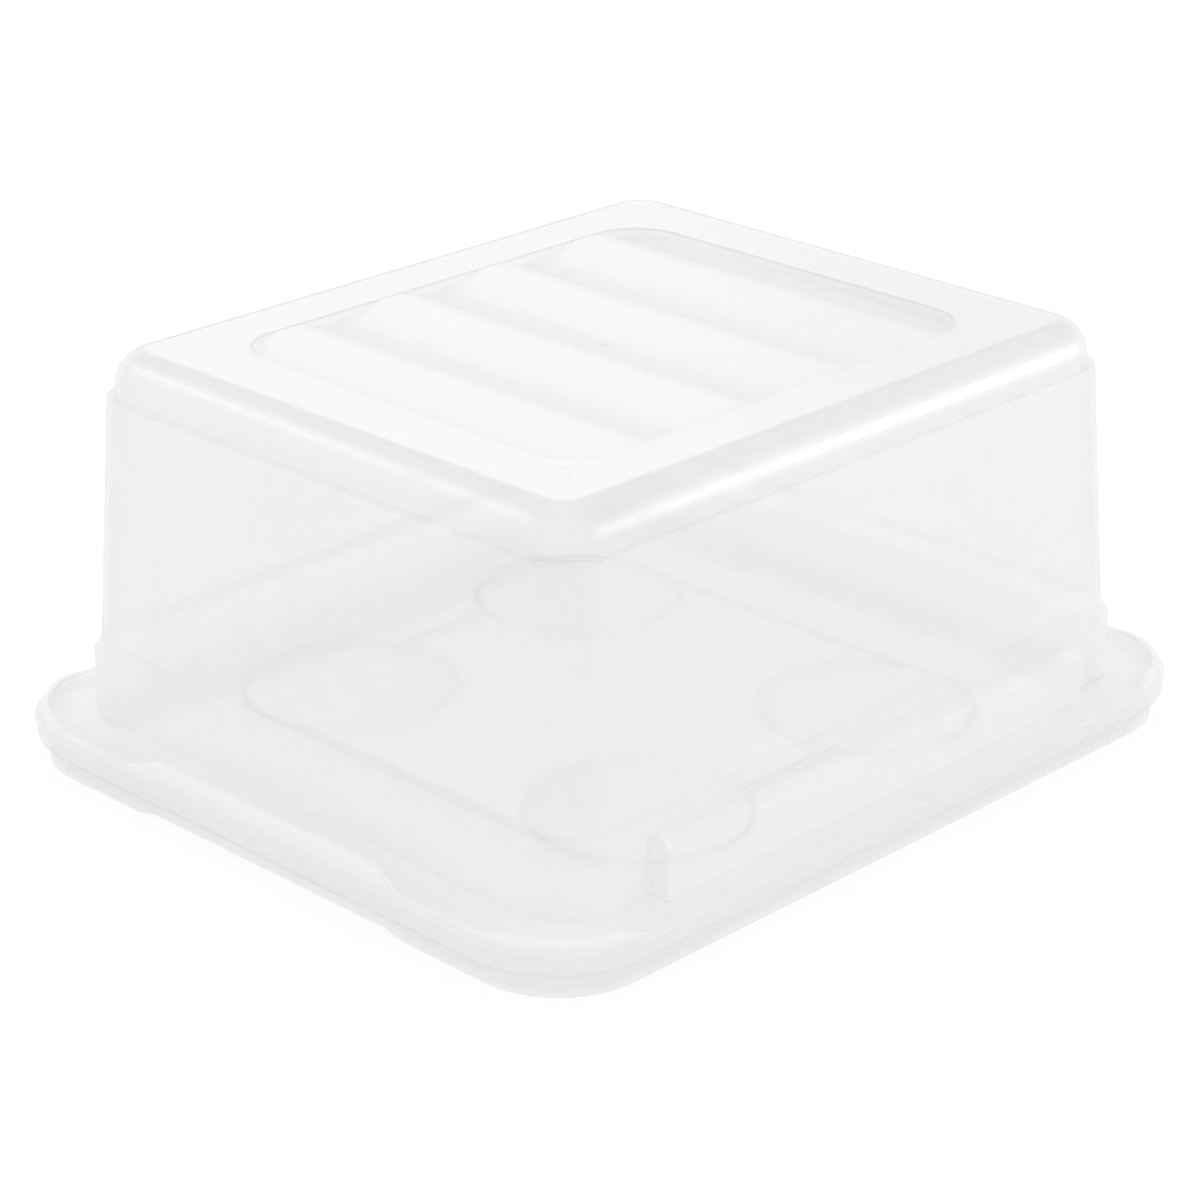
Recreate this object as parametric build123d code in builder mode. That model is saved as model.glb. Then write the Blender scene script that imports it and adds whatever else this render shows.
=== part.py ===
from build123d import *
import os
from math import cos, radians, sqrt, tan

# A proofing tub turned over on its own lid, as it is stored when empty. Lengths are in millimetres.
# Z is up, X runs along the long sides, and the origin is the middle of the surface that the lid lies on.

# Walls, fits and cuts
wall = 1.9
edge_gap = 0.3
plug_gap = 0.6
overrun = 1.0

# Tub: base, stacking foot and ledge
base_length = 322.8
base_width = 273.8
base_corner = 22.3
base_round = 14.6
foot_height = 19.5
ledge = 2.0

# Tub: tapered walls, then the small step out to the mouth band
wall_height = 107.9
wall_draft = 3.29
wall_top_corner = 20.0
wall_foot_corner = 22.0
band_step = 3.1
band_step_height = 5.5
band_corner = 24.2
band_rise = 28.4
mouth_drop = 9.4

# Tub: hollow bulges on the long sides
bulge_length = 255.6
bulge_reach = 9.0
bulge_drop = 0.5
bulge_round = 7.0

# Tub: rim web, and the leaning lip whose free edge is low along the long sides,
# dips beside each short side's grip and stands highest at the grip itself
rim_end_reach = 27.3
rim_side_reach = 23.9
lip_corner = 48.4
lip_straight = 0.9
lip_lean = 35.0
lip_height = 6.1
lip_side_height = 2.3
lip_side_length = 300.0
lip_side_ramp = 15.0
lip_grip_height = 9.0
lip_grip_length = 132.0
lip_grip_ramp = 15.0
lip_dip_height = 3.6
lip_dip_length = 40.0
lip_dip_ramp = 20.0
lip_bend = 25.0

# Tub: ribbed panel sunk in the base
rib_count = 4
rib_pitch = 58.6
rib_crest = 16.5
rib_round = 16.0
rib_drop = 0.3
trough_depth = 4.8
end_trough = 23.8
panel_width = 200.0
panel_corner = 24.0

# Tub: marks that the mould leaves, a gate nub and two fine rings
nub_radius = 2.2
nub_height = 1.0
ring_radius = 10.0
ring_line = 0.5
ring_depth = 0.3
ring_end_inset = 29.3
ring_side_inset = 39.3

# Lid: skirt under the rim, and the band that it stands on, arched at the short sides
skirt_inset = 0.7
skirt_straight = 4.3
skirt_round = 5.8
skirt_height = 18.8
stand_corner = 39.6
arch_rise = 2.4
arch_length = 136.0
arch_ramp = 12.0

# Lid: plug that enters the mouth, with a raised panel and four round corner pads
plug_height = 15.0
raised_length = 226.0
raised_width = 207.2
raised_corner = 6.0
raised_step = 1.2
pad_radius = 46.5
pad_spacing_x = 140.0
pad_spacing_y = 174.0

# Heights above the surface, from the lid up
skirt_start = skirt_height - skirt_straight - skirt_round
web_bottom = skirt_height + edge_gap
web_top = web_bottom + wall
mouth_edge = web_bottom - mouth_drop
band_top = web_bottom + band_rise
wall_foot = band_top + band_step_height
ledge_height = wall_foot + wall_height
tub_top = ledge_height + foot_height
rib_top = tub_top - rib_drop

# Plan sizes as (length, width, corner radius), from the base down to the lid's band
taper = wall_height * tan(radians(wall_draft))
panel_length = (rib_count - 1) * rib_pitch + rib_crest + 2 * end_trough
panel_plan = (panel_length, panel_width, panel_corner)
base_plan = (base_length, base_width, base_corner)
wall_top_plan = (base_length + 2 * ledge, base_width + 2 * ledge, wall_top_corner)
wall_foot_plan = (wall_top_plan[0] + 2 * taper, wall_top_plan[1] + 2 * taper, wall_foot_corner)
band_plan = (wall_foot_plan[0] + 2 * band_step, wall_foot_plan[1] + 2 * band_step, band_corner)
lip_plan = (band_plan[0] + 2 * rim_end_reach, band_plan[1] + 2 * rim_side_reach, lip_corner)


def inset(plan, amount):
    """The same plan drawn in by an amount on every side."""
    length, width, corner = plan
    return (length - 2 * amount, width - 2 * amount, corner - amount)


plug_plan = inset(band_plan, wall + plug_gap)
skirt_plan = inset(lip_plan, skirt_inset)
stand_plan = inset(skirt_plan, skirt_round)[:2] + (stand_corner,)


def outline(plan, height):
    """A rounded rectangle that lies at a height."""
    length, width, corner = plan
    with BuildSketch(Plane.XY.offset(height)) as sheet:
        RectangleRounded(length, width, corner)
    return sheet.sketch


def slab(plan, bottom, top, mode=Mode.ADD):
    """A straight-sided block between two heights."""
    extrude(outline(plan, bottom), amount=top - bottom, mode=mode)


def tapered(low_plan, low, high_plan, high, mode=Mode.ADD):
    """A block whose plan changes evenly from one height to another."""
    loft([outline(low_plan, low), outline(high_plan, high)], ruled=True, mode=mode)


def section(plane, points, bend=0):
    """A closed cross-section; its corners, but for the first two and the last two, take a bend."""
    with BuildSketch(plane) as cut:
        with BuildLine():
            Polyline(*points, close=True)
        make_face()
        if bend:
            spots = [Vector(*point) for point in points[2:-2]]
            bent = [
                corner
                for corner in cut.vertices()
                if min((Vector(corner) - spot).length for spot in spots) < wall / 10
            ]
            fillet(bent, bend)
    return cut.sketch


def mirrored(steps):
    """Points (distance, height) on one side, met by the same points on the other side."""
    return [(-distance, height) for distance, height in steps] + steps[::-1]


def tub_walls(skin):
    """Base, foot, ledge, walls and step as one block, a skin thickness in from the outer faces."""
    slab(inset(base_plan, skin), ledge_height - skin, tub_top - skin)
    fillet(faces().sort_by(Axis.Z)[-1].edges(), base_round - skin)
    tapered(inset(wall_foot_plan, skin), wall_foot, inset(wall_top_plan, skin), ledge_height - skin)
    tapered(inset(band_plan, skin), band_top, inset(wall_foot_plan, skin), wall_foot)


def side_bulges(skin, low):
    """A block across the tub whose two ends are the bulges, a skin thickness in."""
    reach = band_plan[1] / 2 + bulge_reach - skin
    top = band_top - bulge_drop - skin
    with BuildSketch(Plane.YZ) as profile:
        with BuildLine():
            Polyline((-reach, low), (reach, low), (reach, top), (-reach, top), close=True)
        make_face()
        fillet(profile.vertices().group_by(Axis.Y)[-1], bulge_round - skin)
    extrude(profile.sketch, amount=bulge_length / 2 - skin, both=True)


def rib_panel(skin):
    """The space over the sunk, ribbed panel, with its faces a skin thickness below the outer ones."""
    half_chord = (rib_pitch - rib_crest) / 2
    radius = (half_chord**2 + trough_depth**2) / (2 * trough_depth)
    half_width = sqrt(half_chord**2 + 2 * trough_depth * skin)
    level = rib_top - skin
    ceiling = tub_top + overrun
    edge = (rib_count / 2) * rib_pitch + half_width
    with BuildSketch(Plane.XZ) as ribs:
        with BuildLine():
            for place in range(rib_count + 1):
                middle = (place - rib_count / 2) * rib_pitch
                start, finish = middle - half_width, middle + half_width
                ThreePointArc((start, level), (middle, level - trough_depth), (finish, level))
                if place < rib_count:
                    Line((finish, level), (middle + rib_pitch - half_width, level))
            Polyline((edge, level), (edge, ceiling), (-edge, ceiling), (-edge, level))
        make_face()
        level_ends = [v for v in ribs.vertices() if abs(v.Y - level) < rib_drop / 2]
        crest_ends = [v for v in level_ends if abs(v.X) < edge - rib_crest / 2]
        fillet(crest_ends, rib_round - skin)
    with BuildPart() as space:
        extrude(ribs.sketch, amount=panel_width, both=True)
        slab(inset(panel_plan, -skin), rib_top - radius, ceiling, Mode.INTERSECT)
    return space.part


def raised_plate(skin):
    """The lid's raised panel with its corner pads, seen in plan, a skin thickness in."""
    with BuildSketch(Plane.XY.offset(plug_height - wall)) as plate:
        RectangleRounded(raised_length - 2 * skin, raised_width - 2 * skin, raised_corner - skin)
        with GridLocations(pad_spacing_x, pad_spacing_y, 2, 2):
            Circle(pad_radius - skin)
    return plate.sketch


def end_arch(skin):
    """Cross-section of the shallow arch under the lid's short sides, up to a skin thickness over it."""
    half = arch_length / 2
    steps = [(half + arch_ramp, -overrun), (half + arch_ramp, skin), (half, arch_rise + skin)]
    return section(Plane.YZ, mirrored(steps))


def leaning(skin, height):
    """Plan of the lip at a height, a skin thickness in from its leaning outer face."""
    return inset(lip_plan, skin + (height - web_bottom - lip_straight) * tan(radians(lip_lean)))


# Tub: everything inside the walls, with the ribbed panel's backing left standing in it
with BuildPart() as cavity:
    tub_walls(wall)
    slab(inset(band_plan, wall), mouth_edge - overrun, band_top)
    side_bulges(wall, mouth_edge - overrun)
    add(rib_panel(wall), mode=Mode.SUBTRACT)

# Tub: rim web and lip, its free edge trimmed to the wave of the long sides, then of the short sides
lean_start = web_bottom + lip_straight
lip_skin = wall / cos(radians(lip_lean))
lip_end = lip_plan[0] / 2 + overrun
lip_side = lip_plan[1] / 2 + overrun
lip_ceiling = web_bottom + lip_grip_height + 2 * overrun
side_end = lip_side_length / 2 + lip_side_ramp
grip_end = lip_grip_length / 2
dip_start = grip_end + lip_grip_ramp
dip_end = dip_start + lip_dip_length
side_wave = [
    (side_end, lip_ceiling),
    (side_end, web_bottom + lip_height),
    (lip_side_length / 2, web_bottom + lip_side_height),
]
end_wave = [
    (lip_side, lip_ceiling),
    (lip_side, web_bottom + lip_height),
    (dip_end + lip_dip_ramp, web_bottom + lip_height),
    (dip_end, web_bottom + lip_dip_height),
    (dip_start, web_bottom + lip_dip_height),
    (grip_end, web_bottom + lip_grip_height),
]
with BuildPart() as rim:
    slab(lip_plan, web_bottom, lean_start)
    lip_top = lip_ceiling - overrun
    tapered(lip_plan, lean_start, leaning(0, lip_top), lip_top)
    tapered(leaning(lip_skin, web_top), web_top, leaning(lip_skin, lip_ceiling), lip_ceiling, Mode.SUBTRACT)
    extrude(section(Plane.XZ, mirrored(side_wave), lip_bend), amount=lip_side, both=True, mode=Mode.SUBTRACT)
    for start in (side_end, -lip_end):
        trim = section(Plane.YZ.offset(start), mirrored(end_wave), lip_bend)
        extrude(trim, amount=lip_end - side_end, mode=Mode.SUBTRACT)

# Tub, one moulding
with BuildPart() as container_shell:
    tub_walls(0)
    slab(band_plan, mouth_edge, band_top)
    side_bulges(0, mouth_edge)
    add(rim.part)
    add(cavity.part, mode=Mode.SUBTRACT)
    add(rib_panel(0), mode=Mode.SUBTRACT)
    trough_floor = rib_top - trough_depth
    with BuildSketch(Plane.XY.offset(trough_floor - wall / 2)) as nub:
        Circle(nub_radius)
    extrude(amount=wall / 2 + nub_height)
    with BuildSketch(Plane.XY.offset(tub_top - ring_depth)) as rings:
        ring_x = ring_end_inset - base_length / 2
        ring_y = base_width / 2 - ring_side_inset
        with Locations((ring_x, -ring_y), (ring_x, ring_y)):
            Circle(ring_radius)
            Circle(ring_radius - ring_line, mode=Mode.SUBTRACT)
    extrude(amount=ring_depth + overrun, mode=Mode.SUBTRACT)
container_shell.part.label = "container_shell"

# Lid: the room above it, which takes the tub's mouth, its bulges and the lid's own plug
with BuildPart() as seat:
    slab(inset(skirt_plan, wall), skirt_start + wall, skirt_height + overrun)
    fillet(faces().sort_by(Axis.Z)[0].edges(), skirt_round - wall)
    slab(inset(stand_plan, wall), wall, skirt_start + 2 * wall)
    slab(plug_plan, 0, plug_height, Mode.SUBTRACT)
    extrude(raised_plate(0), amount=wall + raised_step, mode=Mode.SUBTRACT)
    extrude(end_arch(wall), amount=lip_end, both=True, mode=Mode.SUBTRACT)

# Lid, one moulding
with BuildPart() as lid:
    slab(skirt_plan, skirt_start, skirt_height)
    fillet(faces().sort_by(Axis.Z)[0].edges(), skirt_round)
    slab(stand_plan, 0, skirt_start + wall)
    add(seat.part, mode=Mode.SUBTRACT)
    slab(inset(plug_plan, wall), -overrun, plug_height - wall, Mode.SUBTRACT)
    extrude(raised_plate(wall), amount=raised_step, mode=Mode.SUBTRACT)
    extrude(end_arch(0), amount=lip_end, both=True, mode=Mode.SUBTRACT)
lid.part.label = "lid"

os.makedirs("parts", exist_ok=True)
export_step(container_shell.part, "parts/container_shell.step")
export_step(lid.part, "parts/lid.step")
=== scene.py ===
import logging
import math
from collections.abc import Callable
from dataclasses import dataclass, fields
from enum import Enum

import bpy
import numpy as np
from mathutils import Matrix, Vector


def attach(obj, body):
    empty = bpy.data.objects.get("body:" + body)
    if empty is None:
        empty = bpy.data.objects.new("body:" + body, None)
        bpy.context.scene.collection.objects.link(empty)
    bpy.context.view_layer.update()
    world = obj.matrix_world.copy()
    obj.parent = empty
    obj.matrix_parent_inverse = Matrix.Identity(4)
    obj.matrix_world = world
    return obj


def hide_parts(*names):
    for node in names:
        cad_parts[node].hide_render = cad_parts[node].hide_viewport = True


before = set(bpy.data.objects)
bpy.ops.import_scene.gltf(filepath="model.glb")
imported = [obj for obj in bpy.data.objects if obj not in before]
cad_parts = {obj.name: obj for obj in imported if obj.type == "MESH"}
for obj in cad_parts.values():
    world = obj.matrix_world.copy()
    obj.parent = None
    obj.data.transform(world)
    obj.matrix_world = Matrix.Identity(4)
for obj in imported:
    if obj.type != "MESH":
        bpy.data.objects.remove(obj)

# A proofing tub turned over on its own lid. Lengths are in metres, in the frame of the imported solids:
# Z is up, X runs along the long sides, and the origin is the middle of the surface that the lid lies on.

log = logging.getLogger("proofing_tub")

MM = 0.001
WALL = 1.9 * MM
# Steps along a small bend and along a large one, and the radius beyond which a bend is large
BEND_STEPS = 3
ROUND_STEPS = 10
LARGE_BEND = 3.0 * MM
# Two bends that share a stretch take at most this share of it each
STRETCH_SHARE = 0.49
# A further ring, this many bend lengths from the corner, keeps the rest of a stretch flat
GUARD = 1.4
# About how high the lip stands, for the angles of the bends at its edge
LIP_RISE = 5.0 * MM
# Points closer together than this are one
HAIRLINE = 0.01 * MM
# An outward direction with a part beyond this lies on a straight side
STRAIGHT = 0.999
WHITE = (1.0, 1.0, 1.0, 1.0)


Span = tuple[float, ...]


def in_mm(*lengths: float) -> Span:
    """Lengths in millimetres as metres."""
    return tuple(length * MM for length in lengths)


def smooth(share: np.ndarray) -> np.ndarray:
    """Shares from 0 to 1 with both ends eased."""
    return share * share * (3 - 2 * share)


# Node trees
class Value:
    """A value in a node tree, with the sums that Math nodes do on it."""

    def __init__(self, graph: "Graph", socket: bpy.types.NodeSocket) -> None:
        """Keeps the graph, and the socket that the value comes out of."""
        self.graph, self.socket = graph, socket

    def __add__(self, other: "Number") -> "Value":
        """The sum."""
        return self.graph.math("ADD", self, other)

    def __sub__(self, other: "Number") -> "Value":
        """The difference."""
        return self.graph.math("SUBTRACT", self, other)

    def __rsub__(self, other: float) -> "Value":
        """A plain number less the value."""
        return self.graph.math("SUBTRACT", other, self)

    def __mul__(self, other: "Number") -> "Value":
        """The product."""
        return self.graph.math("MULTIPLY", self, other)

    def __truediv__(self, other: "Number") -> "Value":
        """The quotient."""
        return self.graph.math("DIVIDE", self, other)

    def __pow__(self, power: float) -> "Value":
        """The value raised to a power."""
        return self.graph.math("POWER", self, power)

    def __neg__(self) -> "Value":
        """The value with its sign changed."""
        return self * -1.0

    def __abs__(self) -> "Value":
        """The value without its sign."""
        return self.graph.math("ABSOLUTE", self)

    def most(self, other: "Number") -> "Value":
        """The larger of two."""
        return self.graph.math("MAXIMUM", self, other)

    def least(self, other: "Number") -> "Value":
        """The smaller of two."""
        return self.graph.math("MINIMUM", self, other)

    def hypot(self, other: "Value") -> "Value":
        """The long side of the right triangle on two."""
        return self.graph.math("SQRT", self * self + other * other)

    def blend(self, low: "Number", high: "Number") -> "Value":
        """The value that is this share of the way from low to high."""
        return self.graph.blend(self, low, high)

    def step(self, low: float, high: float) -> "Value":
        """0 up to low, 1 from high on, and a smooth rise between them."""
        inputs = {"Value": self, "From Min": low, "From Max": high}
        return self.graph.value("ShaderNodeMapRange", inputs, interpolation_type="SMOOTHSTEP")

    def window(self, places: Span) -> "Value":
        """1 between the two middle places of four, 0 outside the outer two."""
        return self.step(*places[:2]) * (1.0 - self.step(*places[2:]))

    def noise(self, scale: float, detail: float = 2.0) -> "Value":
        """Even noise about one half at a place, with a number of features to the metre."""
        inputs = {"Vector": self, "Scale": scale, "Detail": detail, "Roughness": 0.5}
        return self.graph.value("ShaderNodeTexNoise", inputs, noise_dimensions="3D")

    def scaled(self, *by: float) -> "Value":
        """A place with each coordinate scaled."""
        return self.graph.vector("MULTIPLY", self, by)


Number = Value | float


class Graph:
    """Writes nodes and links into one node tree."""

    def __init__(self, tree: bpy.types.NodeTree) -> None:
        """Keeps the tree that the nodes go into."""
        self.tree = tree

    def feed(self, socket: bpy.types.NodeSocket, value: object) -> None:
        """Links a socket, or sets it.

        Args:
            socket: An input socket.
            value: A value of the tree, or a plain one.
        """
        if isinstance(value, Value):
            self.tree.links.new(value.socket, socket)
        else:
            socket.default_value = value

    def node(self, kind: str, inputs: dict | None = None, **settings: object) -> bpy.types.Node:
        """Adds a node.

        Args:
            kind: The node's type.
            inputs: Its inputs by name or number.
            **settings: The node's own properties.

        Returns:
            The new node.
        """
        made = self.tree.nodes.new(kind)
        for name, value in settings.items():
            setattr(made, name, value)
        for key, value in (inputs or {}).items():
            self.feed(made.inputs[key], value)
        return made

    def value(self, kind: str, inputs: dict | None = None, output: int | str = 0, **more: object) -> Value:
        """Adds a node, and gives one of its outputs."""
        return Value(self, self.node(kind, inputs, **more).outputs[output])

    def math(self, operation: str, *values: Number) -> Value:
        """Adds a Math node with its inputs in order."""
        return self.value("ShaderNodeMath", dict(enumerate(values)), operation=operation)

    def vector(self, operation: str, *values: object, output: int | str = 0) -> Value:
        """Adds a Vector Math node with its inputs in order."""
        return self.value("ShaderNodeVectorMath", dict(enumerate(values)), output, operation=operation)

    def coordinates(self, spot: Value) -> list[Value]:
        """The x, y and z of a place."""
        outputs = self.node("ShaderNodeSeparateXYZ", {0: spot}).outputs
        return [Value(self, outputs[axis]) for axis in "XYZ"]

    def blend(self, share: Number, low: Number, high: Number) -> Value:
        """The value a share of the way from low to high."""
        return self.math("MULTIPLY_ADD", share, self.math("SUBTRACT", high, low), low)


# Sections
@dataclass(frozen=True)
class Ring:
    """One closed ring of a moulding's skin: a rounded rectangle, and how it departs from one.

    Attributes:
        half_length, half_width, corner, height: The rectangle, and how high it lies.
        lift: How much of the lip's height is added.
        reach, rise: How far the bulges stand out and up.
        inside: 0 on the outer skin, 1 on the inner one.
        arch: How much of the lid's arches is added.
        pads, inset, spread: 1 for the raised panel's outline, drawn in by a length and by a share.
        ribs: How much the ring follows the ribbed panel.
        bend: The radius that the section is rounded by here.
    """

    half_length: float
    half_width: float
    corner: float
    height: float
    lift: float = 0.0
    reach: float = 0.0
    rise: float = 0.0
    inside: float = 0.0
    arch: float = 0.0
    pads: float = 0.0
    inset: float = 0.0
    ribs: float = 0.0
    spread: float = 1.0
    bend: float = 0.0

    def numbers(self) -> np.ndarray:
        """The ring's fields as one vector."""
        return np.array([getattr(self, field.name) for field in fields(self)])


RING_FIELDS = [field.name for field in fields(Ring)][:-1]


@dataclass(frozen=True)
class Plan:
    """A rounded rectangle seen from above, by its half sizes."""

    half_length: float
    half_width: float
    corner: float

    def drawn_in(self, amount: float) -> "Plan":
        """The same plan drawn in on every side."""
        return Plan(self.half_length - amount, self.half_width - amount, self.corner - amount)

    def at(self, height: float, **more: float) -> Ring:
        """The plan as a ring at a height."""
        return Ring(self.half_length, self.half_width, self.corner, height, **more)

    def straight(self) -> tuple[float, float]:
        """Half the length of a long side's straight part, and of a short side's."""
        return self.half_length - self.corner, self.half_width - self.corner


@dataclass(frozen=True)
class RaisedPanel:
    """The outline of the lid's raised panel: a rectangle with a round pad at each corner."""

    half_length: float = 113.0 * MM
    half_width: float = 103.6 * MM
    pad_x: float = 70.0 * MM
    pad_y: float = 87.0 * MM
    pad_radius: float = 46.5 * MM

    def pad_on_side(self) -> float:
        """Where a long edge meets a pad."""
        return self.pad_x - math.sqrt(self.pad_radius**2 - (self.half_width - self.pad_y) ** 2)

    def pad_on_end(self) -> float:
        """Where a short edge meets a pad."""
        return self.pad_y - math.sqrt(self.pad_radius**2 - (self.half_length - self.pad_x) ** 2)


# Sizes that more than one class goes by
TOP = 180.4 * MM
BASE = Plan(*in_mm(161.4, 136.9, 22.3))
BASE_ROUND = 14.6 * MM
PANEL = Plan(*in_mm(119.95, 100.0, 24.0))
RIB_PITCH = 58.6 * MM
BAND = Plan(*in_mm(172.7, 148.2, 24.2))
LIP = Plan(*in_mm(200.0, 172.1, 48.4))
LIP_STRAIGHT = 0.9 * MM
PLUG = Plan(*in_mm(170.2, 145.7, 21.7))


def softened(rings: list[Ring]) -> list[Ring]:
    """Rounds the corners of a section.

    Args:
        rings: The section's rings in order, each with the radius of its bend, or none.

    Returns:
        The rings with each bend drawn as an arc.
    """
    rows = [ring.numbers() for ring in rings]
    place = [np.array([ring.half_length, ring.height + ring.lift * LIP_RISE]) for ring in rings]
    made: list[np.ndarray] = []
    for number, row in enumerate(rows):
        radius = row[-1]
        if radius <= 0:
            made.append(row)
            continue
        before, after = rows[number - 1], rows[number + 1]
        back = place[number - 1] - place[number]
        on = place[number + 1] - place[number]
        far_back, far_on = np.linalg.norm(back), np.linalg.norm(on)
        turn = math.pi - math.acos(np.clip(back @ on / (far_back * far_on), -1, 1))
        run = min(radius * math.tan(turn / 2), STRETCH_SHARE * far_back if before[-1] else far_back)
        run = min(run, STRETCH_SHARE * far_on if after[-1] else far_on)
        start = row + (before - row) * run / far_back
        end = row + (after - row) * run / far_on
        weight = math.cos(turn / 2)
        steps = ROUND_STEPS if radius > LARGE_BEND else BEND_STEPS
        if run * GUARD < far_back / 2:
            made.append(row + (before - row) * run * GUARD / far_back)
        for share in np.linspace(0, 1, steps + 1):
            low, middle, high = (1 - share) ** 2, 2 * weight * share * (1 - share), share**2
            made.append((low * start + middle * row + high * end) / (low + middle + high))
        if run * GUARD < far_on / 2:
            made.append(row + (after - row) * run * GUARD / far_on)
    return [Ring(*row[:-1]) for row in made]


def points_object(name: str, columns: dict[str, np.ndarray]) -> bpy.types.Object:
    """Loose points that carry named numbers into a node tree.

    Args:
        name: The object's name.
        columns: One array of numbers for each name.

    Returns:
        The object, which is removed once the tree has run.
    """
    count = len(next(iter(columns.values())))
    mesh = bpy.data.meshes.new(name)
    mesh.from_pydata([(0.0, 0.0, 0.0)] * count, [], [])
    for key, values in columns.items():
        mesh.attributes.new(key, "FLOAT", "POINT").data.foreach_set("value", np.asarray(values, np.float32))
    made = bpy.data.objects.new(name, mesh)
    bpy.context.scene.collection.objects.link(made)
    return made


@dataclass(frozen=True)
class Around:
    """The points round a ring, the same for every ring, and what happens at each of them."""

    band: Plan = BAND
    lip: Plan = LIP
    lip_straight: float = LIP_STRAIGHT
    lip_height: float = 6.1 * MM
    side_height: float = 2.3 * MM
    side_half: float = 150.0 * MM
    side_ramp: float = 15.0 * MM
    grip_height: float = 9.0 * MM
    grip_half: float = 66.0 * MM
    grip_ramp: float = 15.0 * MM
    dip_height: float = 3.6 * MM
    dip_length: float = 40.0 * MM
    dip_ramp: float = 20.0 * MM
    wave_span: float = 0.2
    wave_points: int = 2001
    wave_ease: int = 61
    bulge_half: float = 127.8 * MM
    bulge_fade: float = 1.2 * MM
    fade_points: Span = (-0.9, -0.35, 0.35, 0.9)
    arch_rise: float = 2.4 * MM
    arch_half: float = 68.0 * MM
    arch_ramp: float = 12.0 * MM
    panel: RaisedPanel = RaisedPanel()
    tip_turn: float = 10.0
    side_step: float = 3.8 * MM
    end_step: float = 5.0 * MM
    outer_points: int = 7
    corner_steps: int = 24

    def side_shares(self) -> np.ndarray:
        """Places along a long side, closer together at the bulge's two ends.

        Returns:
            Shares of the side's half length, from -1 to 1.
        """
        reach, _ = self.band.straight()
        edges = (self.bulge_half, self.bulge_half - WALL)
        near = [edge + offset * self.bulge_fade for edge in edges for offset in self.fade_points]
        inner = min(near) - self.bulge_fade
        middle = np.linspace(0, inner, math.ceil(inner / self.side_step) + 1)
        outer = np.linspace(max(near) + self.bulge_fade, reach, self.outer_points)
        half = np.concatenate([middle, sorted(near), outer]) / reach
        return np.concatenate([-half[:0:-1], half])

    def end_shares(self) -> np.ndarray:
        """Places along a short side, as shares of its half length from -1 to 1."""
        _, reach = self.band.straight()
        return np.linspace(-1, 1, 2 * math.ceil(reach / self.end_step) + 1)

    def counts(self) -> tuple[int, int]:
        """How many points lie along a long side and along a short side."""
        return len(self.side_shares()), len(self.end_shares())

    def template(self) -> np.ndarray:
        """The points for a plan of any size, anticlockwise from the near long side.

        Returns:
            Rows of centre x, centre y, outward x and outward y. The last repeats the first.
        """
        sides, ends = self.side_shares(), self.end_shares()
        arc = np.linspace(0, math.pi / 2, self.corner_steps + 1)[1:-1]
        rows: list[tuple[float, float, float, float]] = []
        for quarter in range(4):
            heading = quarter * math.pi / 2
            shares = sides if quarter % 2 == 0 else ends
            out_x, out_y = round(math.sin(heading)), -round(math.cos(heading))
            along_x, along_y = -out_y, out_x
            rows += [(out_x + along_x * s, out_y + along_y * s, out_x, out_y) for s in shares]
            corner = out_x + along_x, out_y + along_y
            rows += [(*corner, math.sin(heading + angle), -math.cos(heading + angle)) for angle in arc]
        rows.append(rows[0])
        return np.array(rows)

    def placed(self, plan: Plan, rows: np.ndarray) -> np.ndarray:
        """The x and the y of the template's points on a plan."""
        return (rows[:, :2] * plan.straight() + rows[:, 2:] * plan.corner).T

    def bulge(self, x: np.ndarray, outward: np.ndarray, half: float) -> np.ndarray:
        """1 along the bulge of a long side, 0 beyond its ends."""
        share = np.clip((half + self.bulge_fade / 2 - np.abs(x)) / self.bulge_fade, 0, 1)
        return np.where(np.abs(outward) > STRAIGHT, smooth(share), 0.0)

    def eased(self, at: np.ndarray, places: list[float], levels: list[float]) -> np.ndarray:
        """Goes from level to level without corners.

        Args:
            at: Where the result is wanted, on either side of the middle.
            places: Distances from the middle.
            levels: The level at each of them.

        Returns:
            The levels that are wanted.
        """
        fine = np.linspace(0, self.wave_span, self.wave_points)
        blur = np.hanning(self.wave_ease)
        sharp = np.pad(np.interp(fine, places, levels), self.wave_ease // 2, "edge")
        return np.interp(np.abs(at), fine, np.convolve(sharp, blur / blur.sum(), "valid"))

    def lip_wave(self, x: np.ndarray, y: np.ndarray) -> np.ndarray:
        """The lip's height over the rim: low on the long sides, with a grip between dips on the short ones.

        Args:
            x: Places along the long sides.
            y: Places along the short sides.

        Returns:
            The height at each place.
        """
        side_end = self.side_half + self.side_ramp
        dip = self.grip_half + self.grip_ramp
        past = dip + self.dip_length
        grip_heights = [self.grip_height] * 2 + [self.dip_height] * 2 + [self.lip_height]
        on_end = self.eased(y, [0, self.grip_half, dip, past, past + self.dip_ramp], grip_heights)
        on_side = self.eased(x, [self.side_half, side_end], [self.side_height, self.lip_height])
        return np.where(np.abs(x) > side_end, on_end, on_side)

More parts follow.
